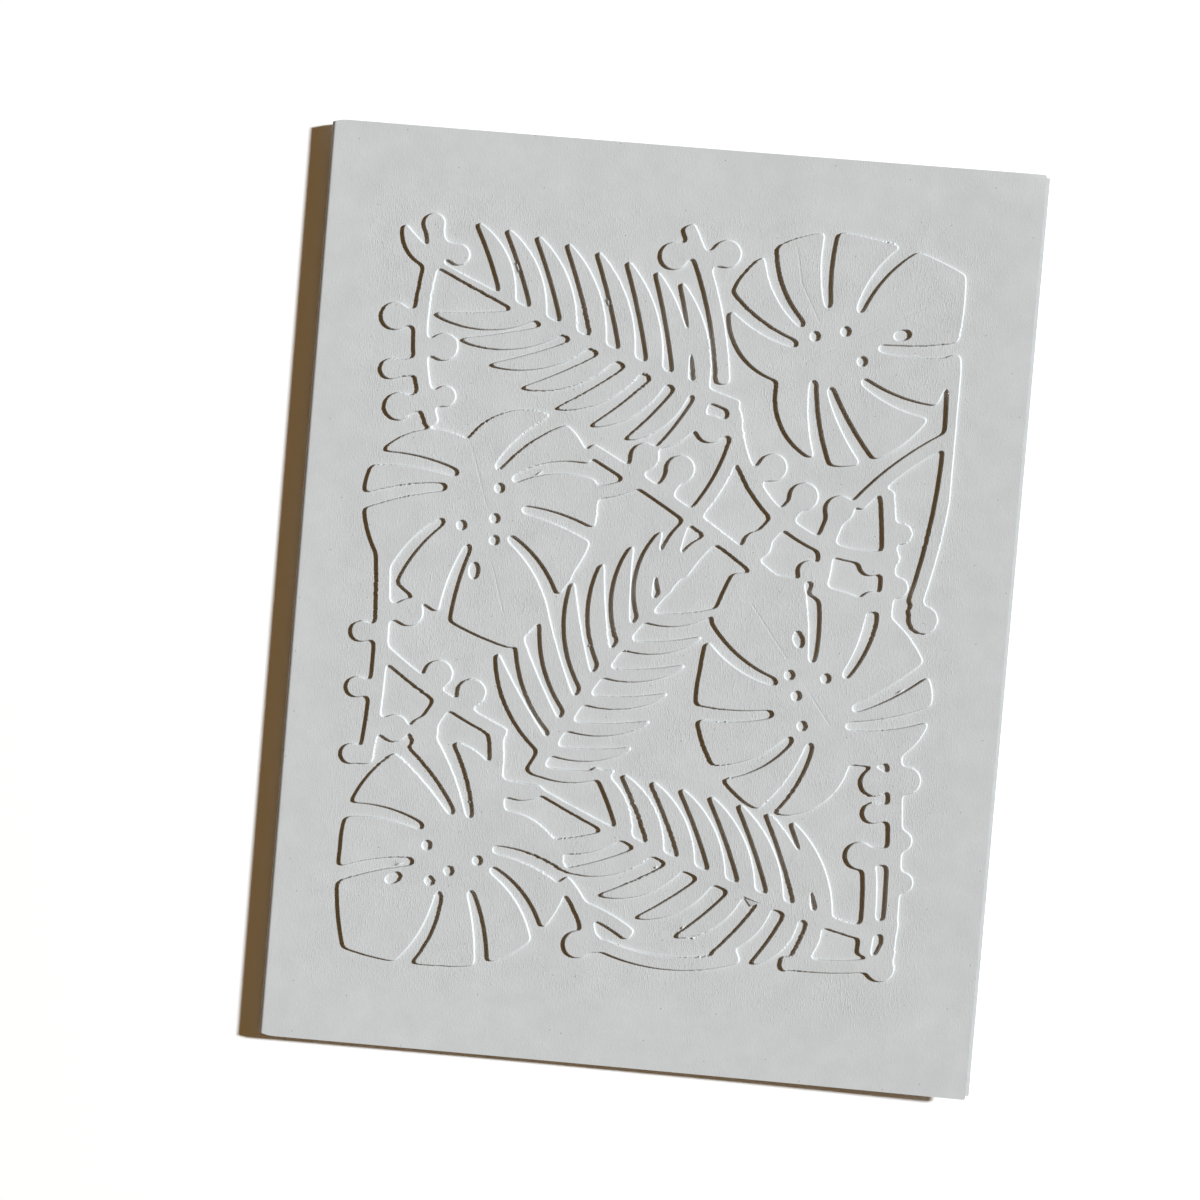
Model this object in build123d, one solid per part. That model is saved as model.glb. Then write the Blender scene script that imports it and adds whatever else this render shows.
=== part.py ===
from build123d import *

# A greeting card: one sheet of heavy paper, folded once, its front panel embossed with tropical leaves.
# It lies closed on its back panel. X runs from the fold to the open edge, Y runs up the card and
# Z points up. The origin is at the middle of the footprint, on the surface that the card lies on.

from collections import namedtuple
from math import acos, asin, atan2, ceil, cos, degrees, pi, radians, sin
import os

# The sheet and its fold, in millimetres and degrees
CARD_WIDTH = 108.0
CARD_HEIGHT = 140.0
SHEET_THICKNESS = 0.35
FOLD_INNER_RADIUS = 0.25
OPEN_ANGLE = 0.3
BACK_OVERHANG = 0.8
SPINE_RUN = 25.0
SPINE_LIFT = 1.2

# The embossed field: its height above the sheet and the plain margins around it
EMBOSS_HEIGHT = 0.4
FOLD_MARGIN = 8.8
OPEN_MARGIN = 10.2
FOOT_MARGIN = 13.0
HEAD_MARGIN = 10.8

# Palm fronds
RIB_BASE_WIDTH = 2.0
RIB_TIP_WIDTH = 0.9
LEAFLET_LENGTH = 14.0
LEAFLET_WIDTH = 2.6
LEAFLET_ROOT_WIDTH = 2.0
LEAFLET_BOW = 1.2
TIP_LEAFLET_LENGTH = 8.5

# How leaflets crowd towards a frond's base, and how much longer those halfway along it are
CROWDING = 1.15
MIDDLE_SWELL = 0.5

# Split leaves
SPLIT_LEAF_WIDTH = 35.0
SLIT_INNER_WIDTH = 1.2
SLIT_WIDTH = 1.9
SLIT_OUTER_WIDTH = 2.0
SLIT_START = 6.5
SLIT_REACH = 21.0
DOT_RADIUS = 0.9
OVAL_LENGTH = 3.0
OVAL_WIDTH = 1.7

# Places on a split leaf's edge, in shares of its length and of half its width
LOBE_EDGE = (0.0, 0.0), (-0.09, 0.44), (0.08, 0.93)
FLANK_EDGE = LOBE_EDGE[-1], (0.38, 1.0), (0.70, 0.68)
POINT_EDGE = FLANK_EDGE[-1], (0.86, 0.38), (1.0, 0.0)

# The heart, which the slits spread from, is on the midrib, at a share of the leaf's length.
# Each slit has its angle off the midrib at its inner and its outer end, and bows away from the leaf's
# tip by a share of its length.
Slit = namedtuple("Slit", "inner_angle outer_angle bow")
HEART_SHARE = 0.32
LEFT_SLITS = Slit(30, 21, 0.10), Slit(74, 60, 0.06), Slit(118, 88, 0.13), Slit(146, 121, 0.09)
RIGHT_SLITS = Slit(31, 29, 0.05), Slit(82, 58, 0.09), Slit(129, 101, 0.05), Slit(154, 122, 0.06)

# The holes lie around the heart, each at an angle and at a share of half the leaf's width
DOT_PLACES = (125, 0.22), (35, 0.15), (-60, 0.24), (8, 0.31)
OVAL_ANGLE = -19
OVAL_SHARE = 0.56

# Berry sprigs
STEM_WIDTH = 2.0
STALK_WIDTH = 2.6
BERRY_RADIUS = 2.2
BUD_RADIUS = 1.7

# How far the straight sides of a berry or a hole stand in from its true curve
FACET_SAG = 0.09

# One side of a frond, from its base to its tip: where its leaflets start along the rib, as shares
# of it, how far they lean from it, their lengths, as multiples of LEAFLET_LENGTH, and how full they
# are, as a multiple of LEAFLET_WIDTH
LEAFLET_FIELDS = "count first last base_angle tip_angle base_length tip_length fullness"
Leaflets = namedtuple("Leaflets", LEAFLET_FIELDS, defaults=[1.0])


def at(across, up):
    """A place on the front panel, in hundredths of the embossed field's width and height."""
    field_width = CARD_WIDTH - FOLD_MARGIN - OPEN_MARGIN
    field_height = CARD_HEIGHT - FOOT_MARGIN - HEAD_MARGIN
    return Vector(FOLD_MARGIN + field_width * across / 100, FOOT_MARGIN + field_height * up / 100)


def polar(origin, angle, distance):
    """The point at a distance and an angle from another point."""
    return origin + Vector(distance, 0).rotate(Axis.Z, angle)


def degrees_of(direction):
    """The angle of a direction on the panel."""
    return degrees(atan2(direction.Y, direction.X))


def bowed(start, end, bow):
    """An arc between two points that bows to the left of its run, by a share of its chord."""
    chord = end - start
    middle = (start + end) / 2 + chord.rotate(Axis.Z, 90) * bow
    return ThreePointArc(start, middle, end)


def band(spine, start_width, middle_width, end_width):
    """A strip along an arc, with its own width at the start, the middle and the end."""
    left = []
    right = []
    for station, width in ((0.0, start_width), (0.5, middle_width), (1.0, end_width)):
        across = (spine % station).rotate(Axis.Z, 90) * (width / 2)
        left.append((spine @ station) + across)
        right.append((spine @ station) - across)
    ends = [Line(left[0], right[0]), Line(left[-1], right[-1])]
    return make_face([ThreePointArc(*left), ThreePointArc(*right), *ends])


def rounded(half_length, half_width):
    """An oval drawn with straight sides, more of them on a larger one."""
    sides = ceil(pi / acos(1 - FACET_SAG / half_length))
    turns = [2 * pi * number / sides for number in range(sides)]
    return Polygon(*[(half_length * cos(turn), half_width * sin(turn)) for turn in turns], align=None)


def leaflet(root, angle, length, side, fullness=1.0):
    """One pointed leaflet, bowed so that its edge away from the rib's tip is the fuller one."""
    tip = polar(root, angle, length)
    outward = polar(Vector(), angle + 90 * side, 1)
    middle = (root + tip) / 2 + outward * LEAFLET_BOW
    reach = outward * (LEAFLET_WIDTH * fullness / 2)
    corner = outward * (LEAFLET_ROOT_WIDTH * fullness / 2)
    full_edge = ThreePointArc(root + corner, middle + reach, tip)
    slim_edge = ThreePointArc(tip, middle - reach, root - corner)
    return make_face([full_edge, slim_edge, Line(root - corner, root + corner)])


def frond(base, tip, bow, tip_lean, left, right):
    """A palm frond: a tapered rib with leaflets down both sides and one at its tip."""
    rib = bowed(base, tip, bow)
    rib_middle_width = (RIB_BASE_WIDTH + RIB_TIP_WIDTH) / 2
    faces = [band(rib, RIB_BASE_WIDTH, rib_middle_width, RIB_TIP_WIDTH)]
    for turn, side in ((1, left), (-1, right)):
        for number in range(side.count):
            share = number / (side.count - 1)
            station = side.first + (side.last - side.first) * share**CROWDING
            lean = side.base_angle + (side.tip_angle - side.base_angle) * share
            multiple = side.base_length + (side.tip_length - side.base_length) * share
            multiple *= 1 + MIDDLE_SWELL * share * (1 - share)
            angle = degrees_of(rib % station) + turn * lean
            length = multiple * LEAFLET_LENGTH
            faces.append(leaflet(rib @ station, angle, length, turn, side.fullness))
    tip_angle = degrees_of(rib % 1) + tip_lean
    faces.append(leaflet(tip, tip_angle, TIP_LEAFLET_LENGTH, 1))
    return faces


def slit(heart, side, inner_angle, outer_angle, bow):
    """A bowed split that starts round near a leaf's heart and runs out through its edge."""
    start = polar(heart, side * inner_angle, SLIT_START)
    end = polar(heart, side * outer_angle, SLIT_REACH)
    spine = bowed(start, end, side * bow)
    round_end = Pos(start) * rounded(SLIT_INNER_WIDTH / 2, SLIT_INNER_WIDTH / 2)
    return [band(spine, SLIT_INNER_WIDTH, SLIT_WIDTH, SLIT_OUTER_WIDTH), round_end]


def split_leaf(base, tip, dot_places=DOT_PLACES):
    """A heart-shaped leaf with slits in from its edge and holes beside its midrib."""
    length = (tip - base).length
    half_width = SPLIT_LEAF_WIDTH / 2
    outline = []
    for side in (half_width, -half_width):
        for edge in (LOBE_EDGE, FLANK_EDGE, POINT_EDGE):
            outline.append(ThreePointArc(*[(along * length, out * side) for along, out in edge]))
    heart = Vector(HEART_SHARE * length, 0)
    cuts = []
    for side, slits in ((1, LEFT_SLITS), (-1, RIGHT_SLITS)):
        for place in slits:
            cuts += slit(heart, side, *place)
    for angle, share in dot_places:
        cuts.append(Pos(polar(heart, angle, share * half_width)) * rounded(DOT_RADIUS, DOT_RADIUS))
    oval = Rot(0, 0, OVAL_ANGLE) * rounded(OVAL_LENGTH / 2, OVAL_WIDTH / 2)
    cuts.append(Pos(polar(heart, OVAL_ANGLE, OVAL_SHARE * half_width)) * oval)
    leaf = make_face(outline) - cuts
    return [Pos(base) * Rot(0, 0, degrees_of(tip - base)) * leaf]


def sprig(start, end, bow, berries=(), buds=()):
    """A bowed stem with a round berry, or a smaller bud, on a short stalk at each place given."""
    stem = bowed(start, end, bow)
    faces = [band(stem, STEM_WIDTH, STEM_WIDTH, STEM_WIDTH)]
    fruits = [(place, BERRY_RADIUS) for place in berries]
    fruits += [(place, BUD_RADIUS) for place in buds]
    for place, radius in fruits:
        joint = stem.distance_to_with_closest_points(place)[1]
        reach = place - joint
        stalk = Rot(0, 0, degrees_of(reach)) * Rectangle(reach.length, STALK_WIDTH)
        faces.append(Pos((joint + place) / 2) * stalk)
        faces.append(Pos(place) * rounded(radius, radius))
    return faces


def leaf_design():
    """All the raised shapes of the front panel, joined into one flat drawing."""
    faces = []
    upper_left = Leaflets(8, 0.11, 0.68, 70, 25, 0.82, 1.12)
    upper_right = Leaflets(8, 0.12, 0.76, 56, 40, 1.28, 0.98)
    faces += frond(at(63.2, 76.2), at(10.4, 91.5), 0.017, -22, upper_left, upper_right)
    middle_left = Leaflets(8, 0.11, 0.90, 58, 22, 1.25, 0.89)
    middle_right = Leaflets(7, 0.02, 0.77, 58, 42, 0.95, 0.88, 0.72)
    faces += frond(at(33.3, 26.3), at(55.9, 54.0), 0.026, -6, middle_left, middle_right)
    lower_left = Leaflets(8, 0.13, 0.745, 76, 32, 0.70, 0.98)
    lower_right = Leaflets(8, 0.10, 0.72, 52, 38, 1.21, 0.89)
    faces += frond(at(91.2, 9.4), at(35.0, 24.1), 0.030, 12, lower_left, lower_right)

    faces += split_leaf(at(69.4, 80.0), at(99.4, 95.6), DOT_PLACES[:3])
    faces += split_leaf(at(17.7, 69.1), at(28.1, 42.4))
    faces += split_leaf(at(87.0, 31.2), at(64.6, 54.7))
    faces += split_leaf(at(29.1, 21.2), at(3.6, 1.3))

    # Sprigs around the upper frond and the upper split leaves
    berries = at(3.6, 84.4), at(5.4, 72.7), at(12.3, 80.9)
    buds = at(9.0, 96.8), at(13.6, 93.0), at(3.6, 77.5), at(13.2, 74.5)
    faces += sprig(at(9.8, 93.8), at(11.5, 70.6), -0.082, berries, buds)
    faces += sprig(at(60.2, 79.0), at(52.0, 99.2), -0.05, (at(50.1, 95.1), at(59.0, 95.9)))
    berries = at(69.8, 68.8), at(75.5, 65.4), at(81.7, 64.1), at(68.3, 58.6), at(58.7, 73.1)
    faces += sprig(at(62.6, 75.7), at(92.4, 58.6), -0.227, berries)
    faces += sprig(at(38.4, 69.3), at(72.1, 53.8), 0.017, (at(48.0, 68.8), at(54.2, 67.6)))
    faces += sprig(at(39.8, 63.6), at(46.8, 65.4), -0.05)
    faces += sprig(at(63.2, 71.5), at(56.6, 61.2), 0.06)
    faces += sprig(at(79.4, 60.2), at(78.6, 52.5), 0.1, buds=(at(77.4, 55.8),))
    faces += sprig(at(98.6, 85.2), at(95.7, 52.5), 0.047, (at(97.4, 50.7),))
    faces += sprig(at(84.5, 64.6), at(99.1, 74.5), 0.046)
    buds = at(87.7, 57.2), at(92.4, 61.6), at(92.5, 54.6), at(88.4, 52.5)
    faces += sprig(at(89.4, 67.1), at(90.7, 49.1), 0.029, buds=buds)

    # Sprigs around the lower frond and the lower split leaves
    berries = at(96.9, 29.7), at(91.6, 29.1), at(90.1, 19.4), at(95.2, 5.0)
    buds = at(91.8, 25.1), at(96.9, 21.8), at(97.7, 16.4)
    faces += sprig(at(94.6, 32.7), at(96.3, 7.7), 0.017, berries, buds)
    faces += sprig(at(47.4, 4.8), at(71.1, 4.8), -0.095, (at(43.5, 4.5),))
    faces += sprig(at(40.0, 12.8), at(45.6, 5.2), 0.08)
    faces += sprig(at(42.6, 9.6), at(52.5, 6.2), 0.05)
    faces += sprig(at(78.3, 4.6), at(93.5, 5.2), -0.03)
    faces += sprig(at(92.0, 18.0), at(92.2, 6.4), 0.03)
    faces += sprig(at(91.0, 9.6), at(97.6, 10.4), 0.05)
    berries = at(10.1, 46.0), at(9.2, 30.7)
    buds = at(2.2, 43.0), at(2.2, 35.7), at(2.2, 26.9)
    faces += sprig(at(4.2, 57.6), at(4.7, 25.8), 0.032, berries, buds)
    berries = at(16.0, 38.3), at(21.9, 36.2), at(14.3, 30.7)
    faces += sprig(at(5.9, 40.9), at(28.3, 31.0), -0.035, berries)
    faces += sprig(at(26.3, 32.0), at(27.0, 24.0), 0.05)

    field_size = at(100, 100) - at(0, 0)
    field = Pos(at(50, 50)) * Rectangle(field_size.X, field_size.Y)
    return field & (Sketch() + faces)


# The fold's outer radius, and the long curl that lifts the fold off the table
fold_outer_radius = FOLD_INNER_RADIUS + SHEET_THICKNESS
curl_radius = (SPINE_RUN**2 + SPINE_LIFT**2) / (2 * SPINE_LIFT)
curl_angle = degrees(asin(SPINE_RUN / curl_radius))

# The section, with its first axis across the card and its second one up
fold_x = -(CARD_WIDTH + BACK_OVERHANG) / 2
back_edge_x = (CARD_WIDTH + BACK_OVERHANG) / 2
fold_centre = Vector(
    fold_x + fold_outer_radius,
    SPINE_LIFT + fold_outer_radius * cos(radians(curl_angle)),
)
curl_x = fold_centre.X - fold_outer_radius * sin(radians(curl_angle)) + SPINE_RUN
panel_run = polar(Vector(), OPEN_ANGLE, 1)
panel_up = polar(Vector(), OPEN_ANGLE + 90, 1)


def sheet_surface(depth):
    """The sheet's line at a depth below its outer face, from the back's open edge to the front's."""
    fold_radius = fold_outer_radius - depth
    front_start = fold_centre + panel_up * fold_radius
    front_end = front_start + panel_run * (CARD_WIDTH - fold_outer_radius)
    return [
        Line((back_edge_x, depth), (curl_x, depth)),
        CenterArc((curl_x, curl_radius), curl_radius - depth, 270, -curl_angle),
        CenterArc(fold_centre, fold_radius, 270 - curl_angle, curl_angle + OPEN_ANGLE - 180),
        Line(front_start, front_end),
    ]


outer = sheet_surface(0)
inner = sheet_surface(SHEET_THICKNESS)
edges = [Line(outer[0] @ 0, inner[0] @ 0), Line(outer[-1] @ 1, inner[-1] @ 1)]
section = make_face(outer + inner + edges)
top_end = Plane((0, CARD_HEIGHT / 2, 0), x_dir=(1, 0, 0), z_dir=(0, -1, 0))
sheet = extrude(top_end * section, amount=CARD_HEIGHT)

# The front panel's face, from the foot of the fold
panel_corner = fold_centre + panel_up * fold_outer_radius - panel_run * fold_outer_radius
front = Plane(
    (panel_corner.X, -CARD_HEIGHT / 2, panel_corner.Y),
    x_dir=(panel_run.X, 0, panel_run.Y),
    z_dir=(panel_up.X, 0, panel_up.Y),
)

# The relief is rooted halfway into the sheet and fused with it
root_depth = SHEET_THICKNESS / 2
relief = extrude(front.offset(-root_depth) * leaf_design(), amount=EMBOSS_HEIGHT + root_depth)
card = sheet + relief

os.makedirs("parts", exist_ok=True)
export_step(card, "parts/card.step")
print("card: volume", round(card.volume), "mm3, size", card.bounding_box().size)
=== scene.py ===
# %% [markdown]
# # An embossed greeting card
#
# The card is one sheet of heavy white paper, folded once. Its front panel was pressed between two
# plates, so that leaves and berries stand up from it by under half a millimetre. There is no ink on
# it: everything that the eye sees is light and shade on paper. So this lesson is about one thing,
# a clean relief, and the work is in the mesh, in the paper's surface and in the light.
#
# The card's solid model comes in as a frame. It gives the size, the fold and the outline of every
# raised shape. Here the same sheet is made again as formed paper, with soft shoulders where the
# solid has plain steps. All lengths below are in millimetres, until the mesh is made.

# %% Load the frame
import math

import bpy
import numpy as np
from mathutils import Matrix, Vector
from mathutils.geometry import delaunay_2d_cdt


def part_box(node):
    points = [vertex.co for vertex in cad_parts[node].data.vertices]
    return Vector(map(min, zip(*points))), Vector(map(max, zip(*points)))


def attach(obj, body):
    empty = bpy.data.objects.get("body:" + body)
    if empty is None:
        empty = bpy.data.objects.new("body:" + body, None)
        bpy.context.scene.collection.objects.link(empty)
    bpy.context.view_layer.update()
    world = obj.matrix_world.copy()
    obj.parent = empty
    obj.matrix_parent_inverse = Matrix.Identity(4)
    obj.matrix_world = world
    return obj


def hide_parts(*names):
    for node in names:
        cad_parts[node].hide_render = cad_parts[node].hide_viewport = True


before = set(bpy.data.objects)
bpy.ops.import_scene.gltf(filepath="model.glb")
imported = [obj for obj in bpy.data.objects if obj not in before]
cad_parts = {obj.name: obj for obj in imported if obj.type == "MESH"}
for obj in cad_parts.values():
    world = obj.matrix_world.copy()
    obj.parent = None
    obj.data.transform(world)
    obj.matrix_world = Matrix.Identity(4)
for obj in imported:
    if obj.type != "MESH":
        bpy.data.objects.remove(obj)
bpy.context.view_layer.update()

MM = 0.001
card_low, card_high = (np.array(corner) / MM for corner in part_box("card"))
card_height = card_high[1] - card_low[1]
print("card, mm:", (card_high - card_low).round(2))

# %% [markdown]
# ## Reading the raised shapes
#
# The solid has flat plateaus with straight walls. Its triangles are read as plain arrays. The highest
# ones that face up are the plateaus, and they give the front panel's tilt. Others that face the same way,
# a little lower, are the plain paper between them. An edge that only one plateau triangle uses lies on an
# outline, and because triangles run anticlockwise, the raised side is always on the left of it.

# %% Read the solid's triangles
NO_AREA = 1e-12

cad_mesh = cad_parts["card"].data
cad_mesh.calc_loop_triangles()
corners = np.empty(len(cad_mesh.vertices) * 3)
cad_mesh.vertices.foreach_get("co", corners)
corners = corners.reshape(-1, 3) / MM
triangles = np.empty(len(cad_mesh.loop_triangles) * 3, dtype=int)
cad_mesh.loop_triangles.foreach_get("vertices", triangles)
triangles = triangles.reshape(-1, 3)

sides = corners[triangles[:, 1:]] - corners[triangles[:, :1]]
normals = np.cross(sides[:, 0], sides[:, 1])
normals /= np.maximum(np.linalg.norm(normals, axis=1, keepdims=True), NO_AREA)
middles = corners[triangles].mean(axis=1)
print("triangles of the solid:", len(triangles))

# %% Find the front panel and its plateaus
FACING_UP = 0.999
SAME_WAY = 0.9999
LEVEL_TOLERANCE = 0.05
MOST_RELIEF = 1.0

faces_up = normals[:, 2] > FACING_UP
top_ones = faces_up & (middles[:, 2] > middles[faces_up, 2].max() - LEVEL_TOLERANCE)
panel_up = np.median(normals[top_ones], axis=0)
panel_up /= np.linalg.norm(panel_up)
panel_run = np.array([panel_up[2], 0.0, -panel_up[0]])
tilt = math.atan2(-panel_up[0], panel_up[2])

levels = middles @ panel_up
on_panel = normals @ panel_up > SAME_WAY
plateau_level = levels[on_panel].max()
on_plateau = on_panel & (levels > plateau_level - LEVEL_TOLERANCE)
on_sheet = on_panel & ~on_plateau & (levels > plateau_level - MOST_RELIEF)
sheet_level = np.median(levels[on_sheet])
emboss_height = np.median(levels[on_plateau]) - sheet_level
print("tilt, degrees:", round(math.degrees(tilt), 2), "relief, mm:", round(emboss_height, 3))

# %% Follow the outlines of the plateaus
WELD = 1e-3

welded = np.round(corners / WELD).astype(int)
_, place_of = np.unique(welded, axis=0, return_inverse=True)
place_of = place_of.ravel()
spots = np.empty((place_of.max() + 1, 3))
spots[place_of] = corners
plateau = place_of[triangles[on_plateau]]
directed = np.concatenate([plateau[:, [0, 1]], plateau[:, [1, 2]], plateau[:, [2, 0]]])
used = {tuple(edge) for edge in directed.tolist()}
outline = np.array([edge for edge in directed.tolist() if (edge[1], edge[0]) not in used])
outline_length = np.linalg.norm(spots[outline[:, 1]] - spots[outline[:, 0]], axis=1).sum()
print("outline edges:", len(outline), "length, mm:", round(outline_length))

# %% [markdown]
# ## The sheet, laid flat
#
# A folded sheet is easiest to think of before it is folded. Each point of it has a distance along the
# sheet, from the open edge of the back panel, round the fold, to the open edge of the front panel, and
# a distance up the card. One function then bends any such point into place: a flat back panel, a long
# gentle curl that lifts the fold off the table, the tight fold, and the flat front panel. The lengths at
# the top of the cell are the solid's own.

# %% The sheet's path from one open edge to the other
SHEET_THICKNESS = 0.35
FOLD_INNER_RADIUS = 0.25
BACK_OVERHANG = 0.8
SPINE_RUN = 25.0
SPINE_LIFT = 1.2

fold_radius = FOLD_INNER_RADIUS + SHEET_THICKNESS
curl_radius = (SPINE_RUN**2 + SPINE_LIFT**2) / (2 * SPINE_LIFT)
curl_turn = math.asin(SPINE_RUN / curl_radius)
fold_turn = math.pi - curl_turn - tilt
fold_centre = np.array([card_low[0] + fold_radius, SPINE_LIFT + fold_radius * math.cos(curl_turn)])
curl_x = fold_centre[0] - fold_radius * math.sin(curl_turn) + SPINE_RUN

back_end = card_high[0] - curl_x
curl_end = back_end + curl_radius * curl_turn
fold_end = curl_end + fold_radius * fold_turn
front_width = card_high[0] - card_low[0] - BACK_OVERHANG - fold_radius
sheet_length = fold_end + front_width


def bend(along, lift):
    """Places of sheet points, across the card and up from the table, for a lift above the outer face."""
    on_curl = np.clip(along - back_end, 0, curl_end - back_end) / curl_radius
    on_fold = np.clip(along - curl_end, 0, fold_end - curl_end) / fold_radius
    back_turn = on_curl + on_fold
    outward = np.stack([-np.sin(back_turn), -np.cos(back_turn)], axis=1)
    flat = np.stack([card_high[0] - along, np.zeros_like(along)], axis=1)
    curl = np.array([curl_x, curl_radius]) + outward * curl_radius
    fold = fold_centre + outward * fold_radius
    front_run = np.array([panel_run[0], panel_run[2]])
    front = fold + np.maximum(along - fold_end, 0)[:, None] * front_run
    spot = np.where((along < back_end)[:, None], flat, np.where((along < curl_end)[:, None], curl, front))
    return spot + outward * np.asarray(lift)[:, None], outward


print("flat sheet, mm:", round(sheet_length, 1), "by", round(card_height, 1))
print("ends of back, curl and fold:", [round(end, 2) for end in (back_end, curl_end, fold_end)])

# %% [markdown]
# ## The relief as a height map
#
# Paper can't take a sharp step. Pressed between plates, it meets the sheet in a fairly tight crease
# and turns over the top in a softer shoulder. Its corners are rounded in plan too, as no fibre sheet
# fills a sharp corner of the plate. Bevels on the solid would give one radius everywhere and would break
# on its many small edges, so the plateaus are drawn on a fine grid and blurred instead. The grid is worked
# out from the outlines, with no picture: each outline edge switches the grid on or off to its right, and a
# running sum along every row fills them. A wide blur, made steep again around its middle, keeps straight
# edges where they are and rounds the corners.

# %% Draw the plateaus on a fine grid
GRID = 0.05

front_start, _ = bend(np.array([fold_end]), np.zeros(1))
start_point = np.array([front_start[0, 0], card_low[1], front_start[0, 1]])
panel_across = (spots - start_point) @ panel_run
panel_upward = spots[:, 1] - card_low[1]
columns = math.ceil(front_width / GRID)
rows = round(card_height / GRID)

first = outline[:, 0]
second = outline[:, 1]
low_row = np.ceil(np.minimum(panel_upward[first], panel_upward[second]) / GRID - 0.5).astype(int)
high_row = np.ceil(np.maximum(panel_upward[first], panel_upward[second]) / GRID - 0.5).astype(int)
crossings = high_row - low_row
edge = np.repeat(np.arange(len(outline)), crossings)
step_in_edge = np.arange(len(edge)) - np.repeat(np.cumsum(crossings) - crossings, crossings)
row = low_row[edge] + step_in_edge
rise = panel_upward[second[edge]] - panel_upward[first[edge]]
share = ((row + 0.5) * GRID - panel_upward[first[edge]]) / rise
crossing = panel_across[first[edge]] + share * (panel_across[second[edge]] - panel_across[first[edge]])
cell = np.floor(crossing / GRID).astype(int)
part = crossing / GRID - cell
switches = np.zeros((rows, columns + 1))
np.add.at(switches, (row, cell), -np.sign(rise) * (1 - part))
np.add.at(switches, (row, cell + 1), -np.sign(rise) * part)
mask = np.cumsum(switches, axis=1)[:, :columns]
print("grid:", mask.shape)

# %% Round the corners of the plateaus
BELL_REACH = 3
CORNER_SOFTNESS = 0.36


def blurred(values, softness):
    """The grid blurred along both of its axes, by a bell curve of that width in millimetres."""
    reach = math.ceil(BELL_REACH * softness / GRID)
    weights = np.exp(-0.5 * (np.arange(-reach, reach + 1) * GRID / softness) ** 2)
    weights /= weights.sum()
    for _ in range(2):
        padded = np.pad(values, ((reach, reach), (0, 0)), mode="edge")
        values = sum(weight * padded[k:k + len(values)] for k, weight in enumerate(weights)).T
    return values


edge_gain = CORNER_SOFTNESS * math.sqrt(math.tau) / GRID
mask = np.clip((blurred(mask, CORNER_SOFTNESS) - 0.5) * edge_gain + 0.5, 0, 1)
print("raised share:", round(float(mask.mean()), 3))

# %% [markdown]
# ## The walls
#
# A second blur gives a smooth field that rises across every edge, and so tells how far a place is from it.
# A wall's profile is then a curve over that distance: a tight foot, a steep wall and a rounder shoulder. A
# little noise in the field leaves the edges as uneven as torn fibres are, in some patches more than in
# others. The inside of the sheet has only a soft rise, because nothing creases it.

# %% A field that tells the distance from an edge
FIELD_SOFTNESS = 0.2
RAGGED_SIZE = 0.25
RAGGED_REACH = 0.03
RAGGED_SEED = 3
PATCH_SIZE = 5.0
PATCH_SEED = 5
PATCH_BASE = 0.2
PATCH_SWING = 0.7
PATCH_LIMITS = (0.15, 1.6)


def eased_shares(count, size):
    """For each of a row of grid cells, the share that each point of a coarser row has in it."""
    steps = (np.arange(count) + 0.5) * GRID / size
    left = steps.astype(int)
    blend = (steps - left) ** 2 * (3 - 2 * (steps - left))
    shares = np.zeros((count, left.max() + 2))
    shares[np.arange(count), left] = 1 - blend
    shares[np.arange(count), left + 1] = blend
    return shares


def uneven(size, seed):
    """A grid of smooth random values around zero, of unit spread, with spots of about that size."""
    up = eased_shares(rows, size)
    across = eased_shares(columns, size)
    spots_of_noise = np.random.default_rng(seed).standard_normal((up.shape[1], across.shape[1]))
    smooth = up @ spots_of_noise @ across.T
    return smooth / smooth.std()


patches_of_wear = np.clip(PATCH_BASE + PATCH_SWING * uneven(PATCH_SIZE, PATCH_SEED), *PATCH_LIMITS)
ragged = uneven(RAGGED_SIZE, RAGGED_SEED) * patches_of_wear
ragged_gain = RAGGED_REACH / (FIELD_SOFTNESS * math.sqrt(math.tau))
field = blurred(mask, FIELD_SOFTNESS)
# Four times f (1 - f) is 1 on an edge and fades to 0 on both sides of it.
field += ragged * ragged_gain * 4 * field * (1 - field)
print("field:", field.min().round(3), "to", field.max().round(3))

# %% The profile of a wall
FOOT_REACH = 0.06
SHOULDER_REACH = 0.14
FOOT_SHARE = 0.3
SHOULDER_POWER = 2.2
WALL_STEPS = 60


def field_at(distance):
    """The field's value at a distance inside, or, if negative, outside a straight edge."""
    return 0.5 + 0.5 * math.erf(distance / FIELD_SOFTNESS / math.sqrt(2))


wall_steps = np.linspace(-FOOT_REACH, SHOULDER_REACH, WALL_STEPS)
ramp = (wall_steps + FOOT_REACH) / (FOOT_REACH + SHOULDER_REACH)
foot = np.clip(ramp / FOOT_SHARE, 0, 1)
outer_wall = np.array([
    [field_at(step) for step in wall_steps],
    (1 - (1 - ramp) ** SHOULDER_POWER) * foot**2 * (3 - 2 * foot),
])
inner_wall = np.array([[0.0, 1.0], [0.0, 1.0]])
print("an outer wall's width in plan, mm:", FOOT_REACH + SHOULDER_REACH)

# %% [markdown]
# ## What handling leaves on paper
#
# No sheet stays flat. The pressed panel sags by half a millimetre, it has faint waves, and the open corner
# at the top has been bent down. Some leaves carry a pressed vein, a groove as fine as a fold in thin paper.
# All of these are small, but a raking light shows them, and a panel without them looks like a plate.

# %% Waves, a sag and a bent corner
SAG = 0.5
RISE = 0.1
WAVE_HEIGHT = 0.035
WAVE_SIZE = 15.0
WAVE_SEED = 7
WAVE_FREE_RUN = 14.0
BENT_CORNER_REACH = 8.0
BENT_CORNER_DROP = 0.3

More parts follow.
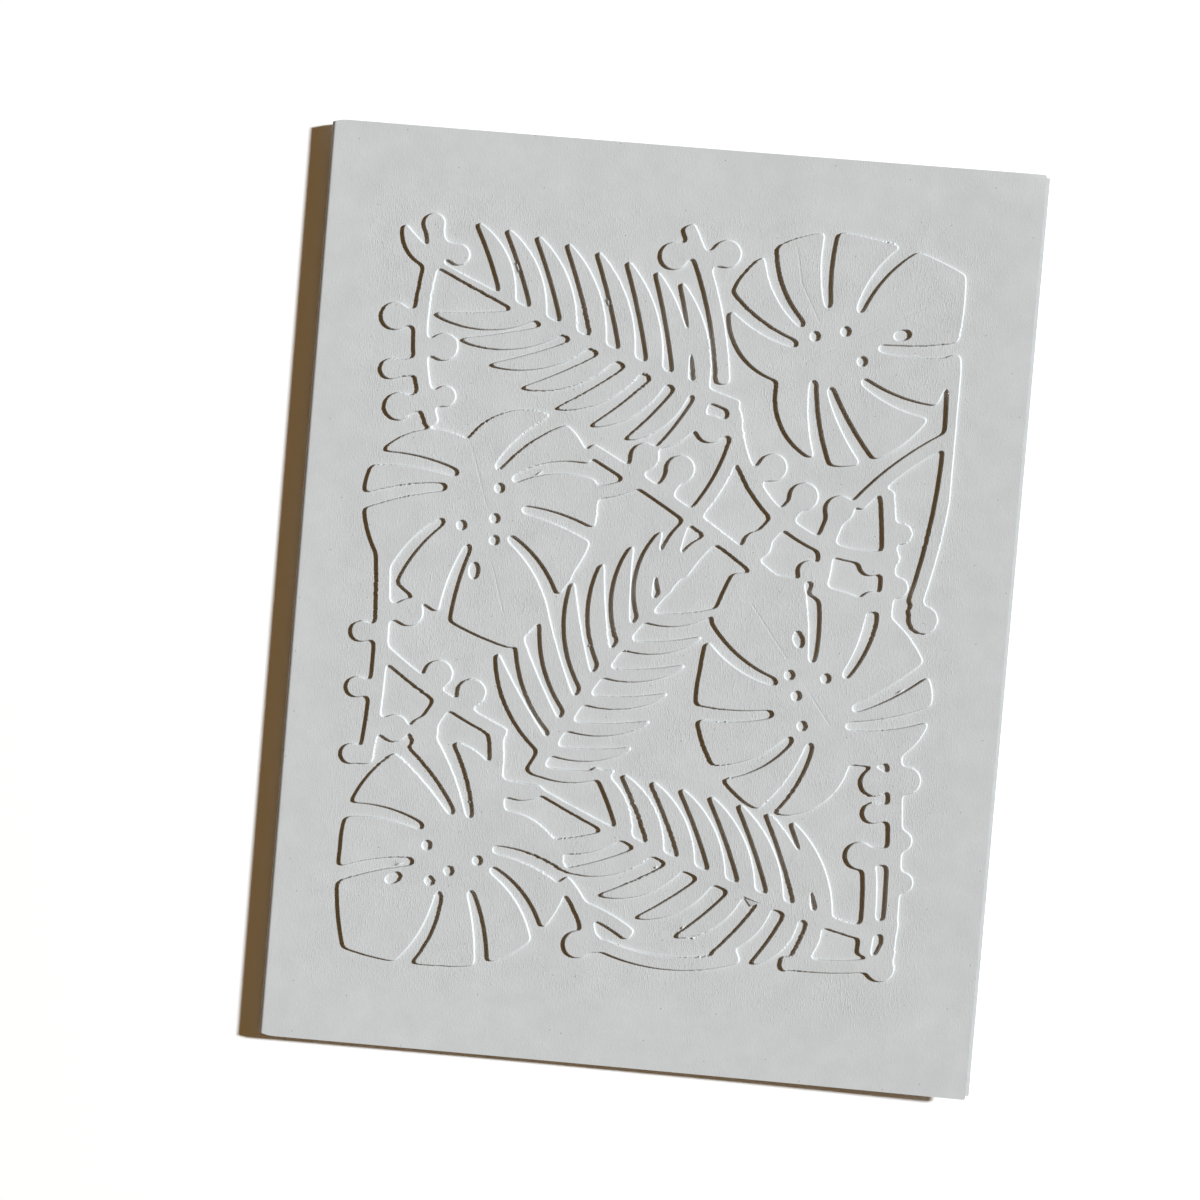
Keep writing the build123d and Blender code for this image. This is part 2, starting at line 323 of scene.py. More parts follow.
cell_across, cell_up = np.meshgrid((np.arange(columns) + 0.5) * GRID, (np.arange(rows) + 0.5) * GRID)
cell_share = cell_across / front_width
waves = WAVE_HEIGHT * uneven(WAVE_SIZE, WAVE_SEED) * np.clip(cell_across / WAVE_FREE_RUN, 0, 1)
# Four times s (1 - s) is 0 at the fold and at the open edge, and 1 half way between them.
waves += RISE * cell_share - 4 * SAG * cell_share * (1 - cell_share)
corner_distance = np.hypot(front_width - cell_across, card_height - cell_up)
waves -= BENT_CORNER_DROP * np.clip(1 - corner_distance / BENT_CORNER_REACH, 0, 1) ** 2
print("waves, mm:", waves.min().round(3), "to", waves.max().round(3))

# %% Pressed veins, clear of the walls
VEIN_DEPTH = 0.02
VEIN_WIDTH = 0.09
VEIN_STEP = 0.8
VEIN_OFFSETS = (-3, -1, 0, 1, 3)
VEINS = (
    ((71.4, 125.0), (72.2, 121.0)), ((72.2, 121.0), (75.9, 114.3)), ((73.4, 109.0), (91.4, 119.0)),
    ((24.7, 92.0), (27.7, 83.0)), ((29.4, 74.0), (31.4, 67.5)), ((68.9, 72.0), (82.4, 54.5)),
)
NEAR_WALL = 0.004
CLEARANCE = 0.5

near_wall = blurred(field * (1 - field), CLEARANCE)
clear_of_walls = np.clip(1 - near_wall / NEAR_WALL, 0, 1)
veins = np.zeros_like(field)
vein_places = []
for vein in VEINS:
    start, end = np.array(vein)
    length = np.linalg.norm(end - start)
    run = (end - start) / length
    along = (cell_across - start[0]) * run[0] + (cell_up - start[1]) * run[1]
    aside = (cell_up - start[1]) * run[0] - (cell_across - start[0]) * run[1]
    past_end = along - np.clip(along, 0, length)
    veins -= VEIN_DEPTH * np.exp(-(aside**2 + past_end**2) / VEIN_WIDTH**2) * clear_of_walls
    for step in np.arange(0, length + VEIN_STEP / 2, VEIN_STEP):
        for offset in VEIN_OFFSETS:
            vein_places.append(start + run * step + np.array([-run[1], run[0]]) * offset * VEIN_WIDTH)
vein_places = np.array(vein_places) + [fold_end, 0]
print("veins:", len(VEINS), "points along them:", len(vein_places))

# %% [markdown]
# ## Lines of equal height
#
# A plain grid fine enough for these walls would need millions of faces, and most of them would lie on
# flat paper. A map maker's answer is better: follow the lines of equal height. They run along the
# walls, so the mesh has long edges along a wall and short ones across it, and it catches the light
# without steps. The first and the last line lie where the wall has run out, so that the plain paper
# beside it stays flat. The lines are found with marching squares: every grid cell that a line crosses
# gives one short piece of it, and the pieces are then linked into closed loops.

# %% Trace lines of equal height on a grid
# A cell's corners that lie inside count 1, 2, 4 and 8, anticlockwise from the lower left one. For each sum,
# this gives the cell's sides (bottom, right, top, left) where a piece of a line starts and ends.
CELL_PIECES = {
    1: ["bl"], 2: ["rb"], 3: ["rl"], 4: ["tr"], 5: ["bl", "tr"], 6: ["tb"], 7: ["tl"],
    8: ["lt"], 9: ["bt"], 10: ["rb", "lt"], 11: ["rt"], 12: ["lr"], 13: ["br"], 14: ["lb"],
}
ALL_INSIDE = 15


def height_loops(values, level):
    """Closed lines of equal height on a grid, with the higher side on the left, in grid steps."""
    inside = values > level
    width = values.shape[1]
    code = inside[:-1, :-1] + 2 * inside[:-1, 1:] + 4 * inside[1:, 1:] + 8 * inside[1:, :-1]
    cells = np.argwhere((code > 0) & (code < ALL_INSIDE))
    following = {}
    for up, across in cells.tolist():
        here = 2 * (up * width + across)
        edge_ids = {"b": here, "l": here + 1, "t": here + 2 * width, "r": here + 3}
        for start, end in CELL_PIECES[code[up, across]]:
            following[edge_ids[start]] = edge_ids[end]
    loops = []
    while following:
        loop = [next(iter(following))]
        while loop[-1] in following:
            loop.append(following.pop(loop[-1]))
        ids = np.array(loop[:-1])
        up, across = np.divmod(ids // 2, width)
        upright = ids % 2
        near = values[up, across]
        far = values[up + upright, across + 1 - upright]
        crossed = (level - near) / (far - near)
        loops.append(np.stack([across + crossed * (1 - upright), up + crossed * upright], axis=1))
    return loops


one_high_point = np.zeros((3, 3))
one_high_point[1, 1] = 1.0
print("a line around one high point:", height_loops(one_high_point, 0.5)[0].tolist())

# %% Thin the lines out, for both faces of the sheet
LINE_GRID_STEP = 2
SHORTEST_LOOP = 8
LEAST_POINTS = 6
GUARD = 0.06
OUTER_DISTANCES = (-FOOT_REACH - GUARD, -0.055, -0.015, 0.025, 0.075, SHOULDER_REACH + GUARD)
OUTER_SPACING = 0.68
OUTER_TURN = 0.38
INNER_DISTANCES = (-0.3, 0.0, 0.3)
INNER_SPACING = 1.5
INNER_TURN = 0.9


def thinned(loop, spacing, turn):
    """Fewer points along a closed line: one for each spacing of its length and each turn of its run."""
    closed = np.concatenate([loop, loop[:1]])
    runs = np.diff(closed, axis=0)
    lengths = np.linalg.norm(runs, axis=1)
    smooth_runs = runs + np.roll(runs, 1, axis=0) + np.roll(runs, -1, axis=0)
    headings = np.unwrap(np.arctan2(smooth_runs[:, 1], smooth_runs[:, 0]))
    whole_turn = np.round((headings[-1] - headings[0]) / math.tau) * math.tau
    turns = np.abs(np.diff(headings, append=headings[:1] + whole_turn))
    measure = np.concatenate([[0], np.cumsum(lengths / spacing + turns / turn)])
    count = max(LEAST_POINTS, round(measure[-1]))
    marks = np.arange(count) * measure[-1] / count
    return np.stack([np.interp(marks, measure, closed[:, axis]) for axis in (0, 1)], axis=1)


def relief_lines(distances, spacing, turn):
    """Thinned lines at several distances from the raised shapes' edges, as places on the sheet."""
    coarse = field[::LINE_GRID_STEP, ::LINE_GRID_STEP]
    lines = []
    for distance in distances:
        for loop in height_loops(coarse, field_at(distance)):
            places = (loop * LINE_GRID_STEP + 0.5) * GRID
            if len(places) > SHORTEST_LOOP:
                lines.append(thinned(places, spacing, turn) + [fold_end, 0])
    return lines


outer_lines = relief_lines(OUTER_DISTANCES, OUTER_SPACING, OUTER_TURN)
inner_lines = relief_lines(INNER_DISTANCES, INNER_SPACING, INNER_TURN)
print("lines outside:", len(outer_lines), "points:", sum(len(line) for line in outer_lines))
print("lines inside:", len(inner_lines), "points:", sum(len(line) for line in inner_lines))

# %% [markdown]
# ## Crumbs and a torn flake
#
# A worn plate leaves its marks too. Here and there a crumb, a curl of fibres, has come loose at the foot of
# a wall on its shaded side and stands up into the light. At the end of one groove a flake of the surface
# has torn away and left a small slanting floor. Both are shaped in the same mesh, since they are still part
# of the sheet. They only need a few more points where they lie.

# %% Places of the crumbs
# Each crumb: its place across and up the front panel, and half its length along the wall.
CRUMBS = (
    (29.8, 120.3, 0.8), (45.2, 116.2, 0.5), (91.7, 62.0, 0.5), (33.4, 39.7, 0.25), (38.4, 91.0, 0.5),
    (18.4, 28.3, 0.5), (58.0, 30.5, 0.15), (62.0, 22.6, 0.25), (65.9, 21.8, 0.18), (43.8, 63.6, 0.18),
)
CRUMB_HALF_WIDTH = 0.12
CRUMB_HEIGHT = 0.25
CRUMB_OFFSET = 0.24
CRUMB_RINGS = (0.7, 1.3, 2.2)
CRUMB_RING_POINTS = 10
SHADED_SIDE = -0.3
PAST_LAST_CELL = 1.001


def grid_at(values, places):
    """The grid's value at places on the sheet, blended between its four nearest cells."""
    across = np.clip((places[:, 0] - fold_end) / GRID - 0.5, 0, columns - PAST_LAST_CELL)
    up = np.clip(places[:, 1] / GRID - 0.5, 0, rows - PAST_LAST_CELL)
    left = across.astype(int)
    low = up.astype(int)
    blend = across - left
    lower = values[low, left] * (1 - blend) + values[low, left + 1] * blend
    upper = values[low + 1, left] * (1 - blend) + values[low + 1, left + 1] * blend
    return np.where(places[:, 0] < fold_end, 0.0, lower + (upper - lower) * (up - low))


wall_places = np.concatenate(outer_lines)
field_slopes = np.gradient(field, GRID)
feet = wall_places[grid_at(field, wall_places) < field_at(-FOOT_REACH)]
ways_down = -np.stack([grid_at(field_slopes[axis], feet) for axis in (1, 0)], axis=1)
ways_down /= np.linalg.norm(ways_down, axis=1, keepdims=True)
shaded = ways_down[:, 0] < SHADED_SIDE
feet = feet[shaded]
ways_down = ways_down[shaded]
crumbs = []
crumb_places = []
for across, up, half_length in CRUMBS:
    spot = np.array([across + fold_end, up])
    nearest = np.argmin(np.linalg.norm(feet - spot, axis=1))
    downhill = ways_down[nearest]
    along_wall = np.array([-downhill[1], downhill[0]])
    middle = feet[nearest] + downhill * CRUMB_OFFSET
    crumbs.append((middle, downhill, along_wall, half_length))
    crumb_places.append(middle)
    for reach in CRUMB_RINGS:
        for turn in np.arange(CRUMB_RING_POINTS) * math.tau / CRUMB_RING_POINTS:
            sideways = downhill * math.cos(turn) * CRUMB_HALF_WIDTH
            crumb_places.append(middle + (sideways + along_wall * math.sin(turn) * half_length) * reach)
crumb_places = np.array(crumb_places)
print("crumbs:", len(crumbs))

# %% Outline of the flake
FLAKE = np.array([(71.35, 27.86), (73.9, 27.02), (72.7, 26.38)])
FLAKE_LOW = 0.08
FLAKE_SLOPE = 0.11
FLAKE_RIM = 0.03

flake = FLAKE + [fold_end, 0]
flake_middle = flake.mean(axis=0)
outward_share = 1 + FLAKE_RIM / np.linalg.norm(flake - flake_middle, axis=1, keepdims=True)
outer_lines += [flake, flake_middle + (flake - flake_middle) * outward_share]
print("flake, mm:", np.ptp(flake, axis=0).round(2))

# %% [markdown]
# ## Both faces of the flat sheet
#
# The flat sheet is triangulated with the height lines as fixed edges, once for its outer face and once,
# more coarsely, for its inner one. A lattice of points fills the plain paper, with narrow columns on the
# fold. It leaves out the places near walls, veins and crumbs, which have points of their own.

# %% A lattice for the plain paper
BACK_STEP = 4.0
CURL_STEP = 1.8
FOLD_STEPS = 22
FRONT_STEP = 2.4
FIRST_FRONT_STEP = FRONT_STEP / 4
ROW_STEP = 2.4
CORNER_BLUNT = 0.25


def stops(start, end, step):
    """Evenly spaced stops from a start up to, but not at, an end."""
    return np.linspace(start, end, max(2, math.ceil((end - start) / step) + 1))[:-1]


column_stops = np.concatenate([
    stops(0, back_end, BACK_STEP),
    stops(back_end, curl_end, CURL_STEP),
    np.linspace(curl_end, fold_end, FOLD_STEPS + 1)[:-1],
    stops(fold_end, fold_end + FRONT_STEP, FIRST_FRONT_STEP),
    stops(fold_end + FRONT_STEP, sheet_length - CORNER_BLUNT, FRONT_STEP),
    [sheet_length - CORNER_BLUNT, sheet_length],
])
row_stops = np.concatenate([
    [0],
    stops(CORNER_BLUNT, card_height - CORNER_BLUNT, ROW_STEP),
    [card_height - CORNER_BLUNT, card_height],
])
lattice = np.stack(np.meshgrid(column_stops, row_stops), axis=2).reshape(-1, 2)
print("lattice:", len(column_stops), "by", len(row_stops))

# %% Triangulate both faces
VEIN_CLEARANCE = 0.7
MERGE_DISTANCE = 1e-5


def sheet_face(lines, extra):
    """Places and triangles of the flat sheet, with the height lines as edges."""
    clear = grid_at(near_wall, lattice) < NEAR_WALL
    for spot in extra:
        clear &= np.linalg.norm(lattice - spot, axis=1) > VEIN_CLEARANCE
    loose = np.concatenate([lattice[clear], extra])
    places = np.concatenate([loose, *lines])
    edges = []
    start = len(loose)
    for line in lines:
        ids = np.arange(start, start + len(line))
        edges += np.stack([ids, np.roll(ids, -1)], axis=1).tolist()
        start += len(line)
    flat = [Vector(place) for place in places.tolist()]
    made = delaunay_2d_cdt(flat, edges, [], 0, MERGE_DISTANCE, False)
    return np.array([tuple(place) for place in made[0]]), np.array(made[2])


vein_places = vein_places[grid_at(near_wall, vein_places) < NEAR_WALL]
outer_places, outer_triangles = sheet_face(outer_lines, np.concatenate([vein_places, crumb_places]))
inner_places, inner_triangles = sheet_face(inner_lines, np.empty((0, 2)))
print("outer face:", len(outer_triangles), "triangles, inner face:", len(inner_triangles))

# %% [markdown]
# ## Forming the faces
#
# Every point of a face is lifted by the relief, by the waves and by the marks, and then bent into place.
# Handling has blunted the open corners and drawn in the two ends of the fold, so those points move first.
# Blender could work out smooth normals from the faces, but long thin triangles beside a wall would leave
# bright and dark halos on the flat paper. The slopes are known exactly, so the normals come from them.

# %% Wear at the corners, and the marks
FOLD_ROUNDING = 0.45
FOLD_ROUNDING_RUN = 1.3

fold_middle = (curl_end + fold_end) / 2


def worn(places):
    """Sheet places with the four open corners blunted and the two ends of the fold drawn in."""
    moved = places.copy()
    at_fold = np.exp(-((places[:, 0] - fold_middle) / FOLD_ROUNDING_RUN) ** 2)
    to_middle = np.where(places[:, 0] < fold_middle, 1, -1)
    from_end = np.minimum(places[:, 0], sheet_length - places[:, 0])
    for from_edge, inward in ((places[:, 1], 1), (card_height - places[:, 1], -1)):
        cut = np.maximum(CORNER_BLUNT - from_end - from_edge, 0) / 2
        drawn = FOLD_ROUNDING * at_fold * np.exp(-from_edge / FOLD_ROUNDING_RUN)
        moved[:, 0] += to_middle * cut
        moved[:, 1] += inward * (cut + drawn)
    return moved


def marked(places, lift, tilt_up, tilt_across):
    """Adds the crumbs and the flake to the lift and to the two slopes of sheet places, where they lie."""
    for middle, downhill, along_wall, half_length in crumbs:
        sideways = (places - middle) @ downhill / CRUMB_HALF_WIDTH
        lengthways = (places - middle) @ along_wall / half_length
        bump = CRUMB_HEIGHT * np.exp(-sideways**2 - lengthways**2)
        lift += bump
        slope = -2 * bump * np.stack([sideways / CRUMB_HALF_WIDTH, lengthways / half_length])
        tilt_across += slope[0] * downhill[0] + slope[1] * along_wall[0]
        tilt_up += slope[0] * downhill[1] + slope[1] * along_wall[1]
    on_flake = np.ones(len(places), dtype=bool)
    for start, end in zip(flake, np.roll(flake, 1, axis=0)):
        run = end - start
        aside = places - start
        on_flake &= run[0] * aside[:, 1] - run[1] * aside[:, 0] > -WELD
    flake_lift = FLAKE_LOW + FLAKE_SLOPE * (places[:, 0] - flake[:, 0].min())
    lift[on_flake] = flake_lift[on_flake]
    tilt_across[on_flake] = FLAKE_SLOPE
    tilt_up[on_flake] = 0


print("farthest that wear moves a point, mm:", np.abs(worn(lattice) - lattice).max().round(2))

# %% Lift and bend both faces
def formed(flat_places, wall, gentle, depth):
    """Corners of a formed face, in metres, and the outward direction at each of them."""
    places = worn(flat_places)
    level = grid_at(field, places)
    lift = emboss_height * np.interp(level, *wall)
    steepness = np.gradient(wall[1], wall[0])
    grade = emboss_height * np.interp(level, wall[0], steepness)
    grade[(level <= wall[0, 0]) | (level >= wall[0, -1])] = 0
    tilt_up, tilt_across = (grade * grid_at(field_slopes[axis], places) for axis in (0, 1))
    if depth == 0:
        marked(places, lift, tilt_up, tilt_across)
    gentle_slopes = np.gradient(gentle, GRID)
    tilt_up += grid_at(gentle_slopes[0], places)
    tilt_across += grid_at(gentle_slopes[1], places)
    spot, outward = bend(places[:, 0], lift + grid_at(gentle, places) - depth)
    shade = np.stack([outward[:, 0], np.zeros(len(places)), outward[:, 1]], axis=1)
    shade -= tilt_across[:, None] * panel_run + tilt_up[:, None] * np.array([0.0, 1.0, 0.0])
    shade /= np.linalg.norm(shade, axis=1, keepdims=True)
    upward = places[:, 1] + card_low[1]
    return np.stack([spot[:, 0], upward, spot[:, 1]], axis=1) * MM, shade


outer_corners, outer_shade = formed(outer_places, outer_wall, waves + veins, 0.0)
inner_corners, inner_shade = formed(inner_places, inner_wall, waves, SHEET_THICKNESS)
print("highest point, mm:", (outer_corners[:, 2].max() / MM).round(2))

# %% [markdown]
# ## One closed sheet
#
# The two faces are joined along the four cut edges, which makes one closed sheet of real thickness. The cut
# edges keep flat normals, because a guillotine leaves them square. Where the plates pressed the panel, its
# fibres were raised too, so each point carries a number that tells how near to the design it is.

# %% Join the faces at the cut edges
def border(places):
    """Ids of the points on the sheet's four cut edges, in one run around it."""
    left = np.flatnonzero(places[:, 0] < WELD)
    right = np.flatnonzero(places[:, 0] > sheet_length - WELD)
    bottom = np.flatnonzero(places[:, 1] < WELD)
    top = np.flatnonzero(places[:, 1] > card_height - WELD)
    bottom = bottom[np.argsort(places[bottom, 0])]
    right = right[np.argsort(places[right, 1])]
    top = top[np.argsort(-places[top, 0])]
    left = left[np.argsort(-places[left, 1])]
    return np.concatenate([bottom[:-1], right[:-1], top[:-1], left[:-1]])


rim_out = border(outer_places)
rim_in = border(inner_places) + len(outer_corners)
rim = np.stack([rim_out, rim_in, np.roll(rim_in, -1), np.roll(rim_out, -1)], axis=1)
rim_triangles = np.concatenate([rim[:, [0, 1, 2]], rim[:, [0, 2, 3]]])
all_corners = np.concatenate([outer_corners, inner_corners])
all_triangles = np.concatenate([
    outer_triangles,
    inner_triangles[:, ::-1] + len(outer_corners),
    rim_triangles,
])
sheet_mesh = bpy.data.meshes.new("formed_sheet")
sheet_mesh.from_pydata(all_corners.tolist(), [], all_triangles.tolist())
sheet_mesh.polygons.foreach_set("use_smooth", np.ones(len(all_triangles), dtype=bool))
sheet_mesh.update()
print("formed card:", len(all_triangles), "triangles, at the cut edges:", len(rim_triangles))

# %% Set the normals and mark the pressed area
PRESSED_FADE = 5.0

rim_start = len(outer_triangles) + len(inner_triangles)
shade = np.concatenate([outer_shade, -inner_shade])[all_triangles.ravel()]
flat_normals = np.empty(len(all_triangles) * 3)
sheet_mesh.polygons.foreach_get("normal", flat_normals)
shade[3 * rim_start:] = np.repeat(flat_normals.reshape(-1, 3)[rim_start:], 3, axis=0)
sheet_mesh.normals_split_custom_set(shade.tolist())

design_low = np.array([panel_across[first].min() + fold_end, panel_upward[first].min()])
design_high = np.array([panel_across[first].max() + fold_end, panel_upward[first].max()])
beside = np.maximum(np.maximum(design_low - outer_places, outer_places - design_high), 0)
pressed = np.zeros(len(all_corners))
pressed[:len(outer_corners)] = np.clip(1 - np.linalg.norm(beside, axis=1) / PRESSED_FADE, 0, 1)
sheet_mesh.attributes.new("pressed", "FLOAT", "POINT").data.foreach_set("value", pressed)
print("design, mm:", (design_high - design_low).round(1))

# %% Put the card in its place
card = bpy.data.objects.new("formed_card", sheet_mesh)
bpy.context.scene.collection.objects.link(card)
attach(card, "root")
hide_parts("card")
print("card stands for the solid:", card.name)

# %% [markdown]
# ## The paper
#
# This is uncoated card of about 300 g/m2: wood fibres, felted in water, pressed and dried, but not coated
# or polished. To the eye that gives a matte sheet without gloss, nearly white and a little grey, with a
# fine tooth and short fibres that lie mostly up the sheet. Its colour is not quite even, and here and there
# a speck of bark shows. A plain white shader would look like plaster, so the fibres and the tooth are
# bumps, and the colour has clouds and specks.

# %% Colour and node helpers
def linear(code):
    """A linear colour from an sRGB hex code."""
    shares = [int(code[k:k + 2], 16) / 255 for k in (1, 3, 5)]
    return [s / 12.92 if s <= 0.04045 else ((s + 0.055) / 1.055) ** 2.4 for s in shares] + [1.0]


def add_node(tree, kind, settings=None, inputs=None):
    """Adds a node, sets its own settings, and gives each named input a value or another node's output."""
    node = tree.nodes.new(kind)
    for name, value in (settings or {}).items():
        setattr(node, name, value)
    for name, value in (inputs or {}).items():
        if isinstance(value, bpy.types.NodeSocket):
            tree.links.new(value, node.inputs[name])
        else:
            node.inputs[name].default_value = value
    return node


print("middle grey in linear light:", round(linear("#808080")[0], 3))

# %% Uncoated white card: its fibres and its tooth
# Real fibres are about 0.03 mm wide, and the tooth between them is as fine. That is a fifth of a pixel in
# the render, so both are drawn coarser than they are, just coarse enough to show.
FIBRE_WIDTH = 0.13
FIBRE_LENGTH = 0.75
FIBRE_HEIGHT = 0.06
TOOTH = 0.28
TOOTH_HEIGHT = 0.034
CALM = 7.0

paper = bpy.data.materials.new("uncoated_white_card")
paper.use_nodes = True
tree = paper.node_tree
tree.nodes.clear()
place = add_node(tree, "ShaderNodeTexCoord").outputs["Object"]
fibre_scale = (1 / (FIBRE_WIDTH * MM), 1 / (FIBRE_LENGTH * MM), 1 / (FIBRE_WIDTH * MM))
fibre_place = add_node(tree, "ShaderNodeMapping", inputs={"Vector": place, "Scale": fibre_scale})
fibres = add_node(tree, "ShaderNodeTexNoise", inputs={
    "Vector": fibre_place.outputs["Vector"], "Scale": 1.0, "Detail": 2.0, "Roughness": 0.55,
    "Distortion": 0.7})
strokes = add_node(tree, "ShaderNodeMapRange", inputs={
    "Value": fibres.outputs["Fac"], "From Min": 0.48, "From Max": 0.82})
patches = add_node(tree, "ShaderNodeTexNoise", inputs={
    "Vector": place, "Scale": 1 / (CALM * MM), "Detail": 2.0})
busy = add_node(tree, "ShaderNodeMapRange", inputs={
    "Value": patches.outputs["Fac"], "From Min": 0.35, "From Max": 0.65, "To Min": 0.5})
pressed_area = add_node(tree, "ShaderNodeAttribute", {"attribute_name": "pressed"})
felt = add_node(tree, "ShaderNodeMapRange", inputs={
    "Value": pressed_area.outputs["Fac"], "To Min": 0.35})
fibre_share = add_node(tree, "ShaderNodeMath", {"operation": "MULTIPLY"}, {
    0: felt.outputs["Result"], 1: busy.outputs["Result"]})
fibre_height = add_node(tree, "ShaderNodeMath", {"operation": "MULTIPLY"}, {
    0: strokes.outputs["Result"], 1: fibre_share.outputs["Value"]})
tooth = add_node(tree, "ShaderNodeTexNoise", inputs={
    "Vector": place, "Scale": 1 / (TOOTH * MM), "Detail": 2.0, "Roughness": 0.6})
tooth_bump = add_node(tree, "ShaderNodeBump", inputs={
    "Strength": 0.5, "Distance": TOOTH_HEIGHT * MM, "Height": tooth.outputs["Fac"]})
fibre_bump = add_node(tree, "ShaderNodeBump", inputs={
    "Strength": 0.6, "Distance": FIBRE_HEIGHT * MM, "Height": fibre_height.outputs["Value"],
    "Normal": tooth_bump.outputs["Normal"]})
print("fibres drawn, mm:", FIBRE_WIDTH, "by", FIBRE_LENGTH)

# %% Uncoated white card: its colour and its matte surface
PAPER_LIGHT = "#CACBCC"
PAPER_DARK = "#B9BCBB"
SPECK_COLOUR = "#8C8273"
CLOUD = 4.0
SPECK_SPACING = 9.0
SPECK_RADIUS = 0.1
SPECK_CORE = 0.6
# The Mix node has a set of sockets for each kind of data. These are the ones for colours.
MIX_FIRST = 6
MIX_SECOND = 7
MIX_RESULT = 2

cloud = add_node(tree, "ShaderNodeTexNoise", inputs={
    "Vector": place, "Scale": 1 / (CLOUD * MM), "Detail": 4.0, "Roughness": 0.6})
tone = add_node(tree, "ShaderNodeMix", {"data_type": "RGBA"}, {
    "Factor": cloud.outputs["Fac"], MIX_FIRST: linear(PAPER_DARK), MIX_SECOND: linear(PAPER_LIGHT)})
speck_distance = add_node(tree, "ShaderNodeTexVoronoi", {"voronoi_dimensions": "2D"}, {
    "Vector": place, "Scale": 1 / (SPECK_SPACING * MM)})
speck = add_node(tree, "ShaderNodeMapRange", inputs={
    "Value": speck_distance.outputs["Distance"], "From Min": SPECK_CORE * SPECK_RADIUS / SPECK_SPACING,
    "From Max": SPECK_RADIUS / SPECK_SPACING, "To Min": 1.0, "To Max": 0.0})
colour = add_node(tree, "ShaderNodeMix", {"data_type": "RGBA"}, {
    "Factor": speck.outputs["Result"], MIX_FIRST: tone.outputs[MIX_RESULT],
    MIX_SECOND: linear(SPECK_COLOUR)})
shader = add_node(tree, "ShaderNodeBsdfPrincipled", inputs={
    "Base Color": colour.outputs[MIX_RESULT], "Roughness": 0.9, "IOR": 1.45, "Specular IOR Level": 0.3,
    "Normal": fibre_bump.outputs["Normal"]})
add_node(tree, "ShaderNodeOutputMaterial", inputs={"Surface": shader.outputs["BSDF"]})
sheet_mesh.materials.append(paper)
print("paper nodes:", len(tree.nodes))

# %% [markdown]
# ## Floor
#
# The card lies on a plain pale floor. It is painted matte, so that it gives the eye nothing but the card's
# own shadow.

# %% Floor of pale matte paint
FLOOR_SIZE = 4.0
FLOOR_COLOUR = "#FDFDFC"

half = FLOOR_SIZE / 2
floor_corners = [(-half, -half, 0), (half, -half, 0), (half, half, 0), (-half, half, 0)]
floor_mesh = bpy.data.meshes.new("floor")
floor_mesh.from_pydata(floor_corners, [], [(0, 1, 2, 3)])
floor = bpy.data.objects.new("floor", floor_mesh)
bpy.context.scene.collection.objects.link(floor)
floor_paint = bpy.data.materials.new("pale_matte_paint")
floor_paint.use_nodes = True
floor_shader = floor_paint.node_tree.nodes["Principled BSDF"]
floor_shader.inputs["Base Color"].default_value = linear(FLOOR_COLOUR)
floor_shader.inputs["Roughness"].default_value = 0.95
floor_shader.inputs["Specular IOR Level"].default_value = 0.1
floor_mesh.materials.append(floor_paint)
print("floor:", FLOOR_SIZE, "m")

# %% [markdown]
# ## Light
#
# One soft light stands low on the card's right, a little towards its top, so that it rakes across the
# relief: walls that face it shine and walls that face away fall into shade. A light from straight above
# would hide the relief. The room's own light is dim and warm, and it colours those shadows brown. It comes
# mostly from the ceiling, so that it reaches into the grooves.

# %% Key light
KEY_DISTANCE = 6.0
KEY_SIZE = 0.54
KEY_AZIMUTH = 15.0
KEY_HEIGHT = 30.0
KEY_POWER = 765.0
KEY_COLOUR = "#F0F6FB"

key_data = bpy.data.lights.new("key", "AREA")
key_data.shape = "DISK"
key_data.size = KEY_SIZE
key_data.energy = KEY_POWER
key_data.color = linear(KEY_COLOUR)[:3]
key = bpy.data.objects.new("key", key_data)
azimuth = math.radians(KEY_AZIMUTH)
elevation = math.radians(KEY_HEIGHT)
key_way = Vector((
    math.cos(elevation) * math.cos(azimuth), math.cos(elevation) * math.sin(azimuth), math.sin(elevation)))
key.location = key_way * KEY_DISTANCE
key.rotation_euler = key_way.to_track_quat("Z", "Y").to_euler()
bpy.context.scene.collection.objects.link(key)
print("key light, degrees round and up:", KEY_AZIMUTH, KEY_HEIGHT)

# %% Room light
ROOM_COLOUR = "#FFCA84"
ROOM_STRENGTH = 0.145
# The light grows with the square of a direction's height. That alone would halve what falls on flat paper.
CEILING_GAIN = 2
BACKDROP = "#FFFFFF"

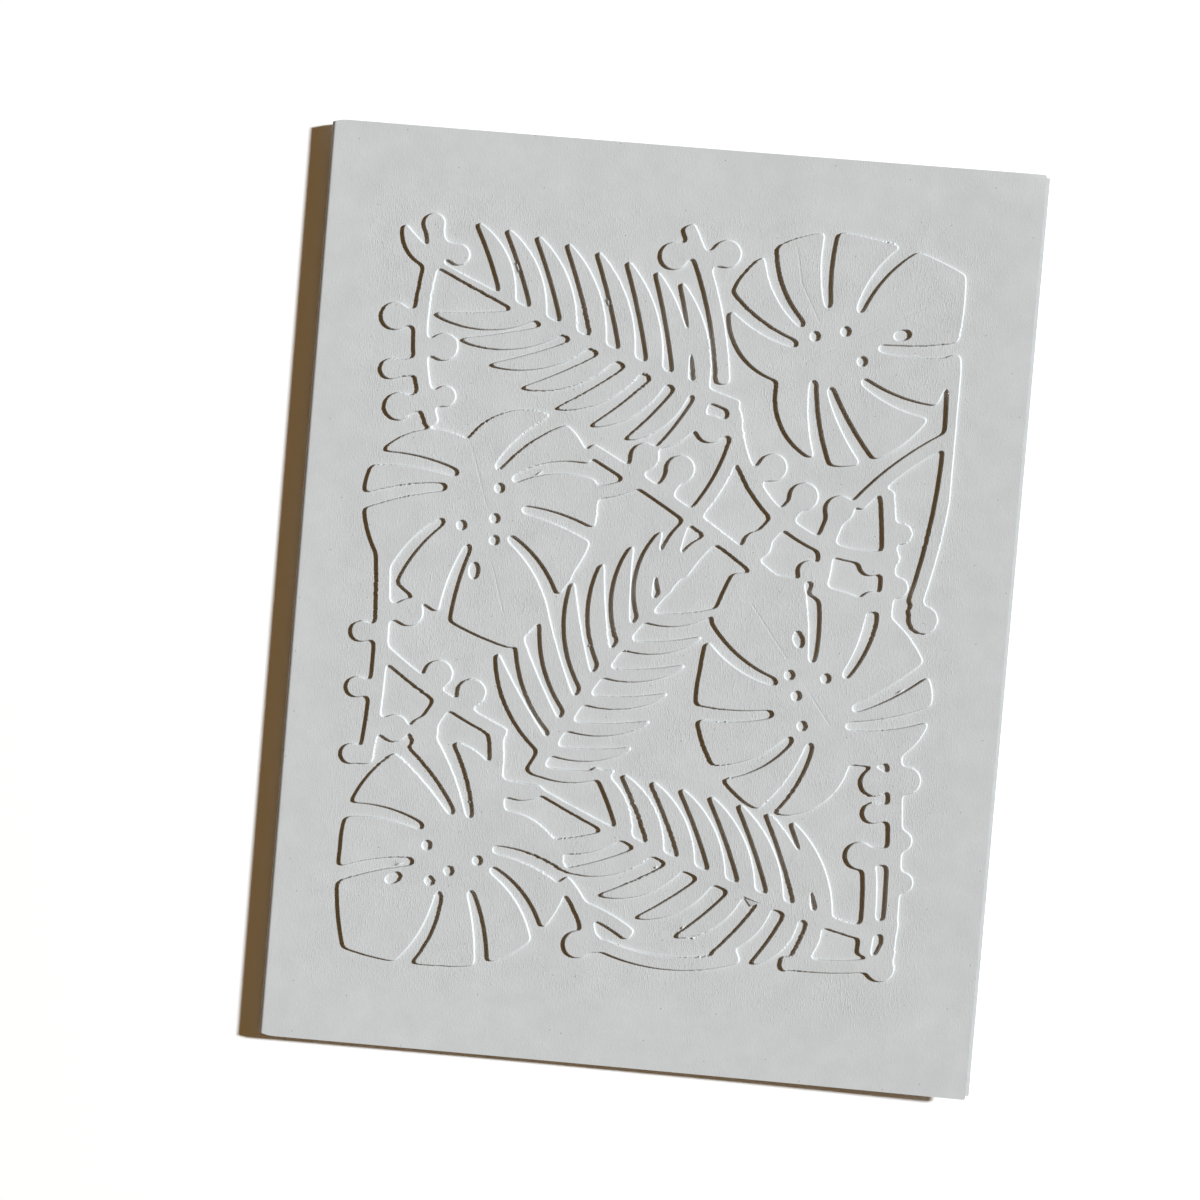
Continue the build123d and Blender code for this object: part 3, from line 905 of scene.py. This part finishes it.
world = bpy.data.worlds.new("room")
bpy.context.scene.world = world
world.use_nodes = True
room = world.node_tree
room.nodes.clear()
seen = add_node(room, "ShaderNodeLightPath")
sky_way = add_node(room, "ShaderNodeSeparateXYZ", inputs={
    "Vector": add_node(room, "ShaderNodeTexCoord").outputs["Generated"]})
overhead = add_node(room, "ShaderNodeMath", {"operation": "MULTIPLY"}, {
    0: sky_way.outputs["Z"], 1: sky_way.outputs["Z"]})
room_share = add_node(room, "ShaderNodeMath", {"operation": "MULTIPLY"}, {
    0: overhead.outputs["Value"], 1: CEILING_GAIN * ROOM_STRENGTH})
room_light = add_node(room, "ShaderNodeBackground", inputs={
    "Color": linear(ROOM_COLOUR), "Strength": room_share.outputs["Value"]})
backdrop = add_node(room, "ShaderNodeBackground", inputs={"Color": linear(BACKDROP), "Strength": 1.0})
mix = add_node(room, "ShaderNodeMixShader", inputs={
    "Fac": seen.outputs["Is Camera Ray"], 1: room_light.outputs["Background"],
    2: backdrop.outputs["Background"]})
add_node(room, "ShaderNodeOutputWorld", inputs={"Surface": mix.outputs["Shader"]})
bpy.context.scene.view_settings.view_transform = "Standard"
print("room nodes:", len(room.nodes))

# %% [markdown]
# ## Camera
#
# The camera looks down on the card from about 430 mm, a little tilted, as someone does who holds a camera
# over a table. Its lens is given as a length in pixels of a square picture.

# %% Camera
CAMERA_PLACE = (6.7, 14.0, 426.5)
CAMERA_TURN = (-1.616, 2.115, 4.824)
FOCAL_PIXELS = 2800.0
FRAME_PIXELS = 1200.0
SENSOR_WIDTH = 36.0

camera_data = bpy.data.cameras.new("camera")
camera_data.sensor_width = SENSOR_WIDTH
camera_data.lens = SENSOR_WIDTH * FOCAL_PIXELS / FRAME_PIXELS
camera = bpy.data.objects.new("camera", camera_data)
camera.location = Vector(CAMERA_PLACE) * MM
camera.rotation_euler = [math.radians(turn) for turn in CAMERA_TURN]
bpy.context.scene.collection.objects.link(camera)
bpy.context.scene.camera = camera
print("lens, mm:", round(camera_data.lens, 1))
